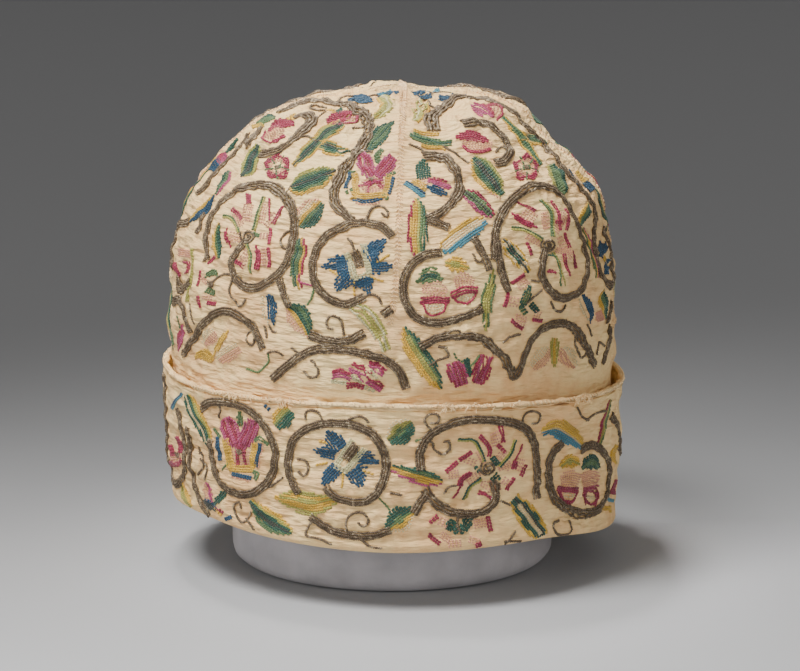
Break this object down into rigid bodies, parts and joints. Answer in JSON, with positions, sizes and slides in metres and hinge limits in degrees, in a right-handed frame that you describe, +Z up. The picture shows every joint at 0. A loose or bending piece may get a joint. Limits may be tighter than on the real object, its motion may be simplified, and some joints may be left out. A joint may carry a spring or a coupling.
{
  "type": "embroidered cap on a padded stand",
  "caption": "Domed linen cap of sewn gores with a turned-up embroidered cuff, resting on a low round padded stand.",
  "frame": {"origin": "middle of the stand's flat foot", "axes": "+Z up through the crown, -Y to the front of the cap, +X to its right as seen from the front"},
  "size_m": [0.1946, 0.1946, 0.2015],
  "materials": {
    "linen": "matt unbleached plain weave",
    "seam_thread": "matt linen thread",
    "silk_thread": "coloured silk thread, soft sheen",
    "metal_thread": "tarnished silver-gilt thread",
    "stand_cover": "matt white jersey"
  },
  "bodies": {
    "root": {"crown": "linen", "cuff": "linen", "rolled_hem": "seam_thread", "seam_front_to_back": "seam_thread", "seam_left": "seam_thread", "seam_right": "seam_thread", "padded_stand": "stand_cover"}
  },
  "joints": []
}
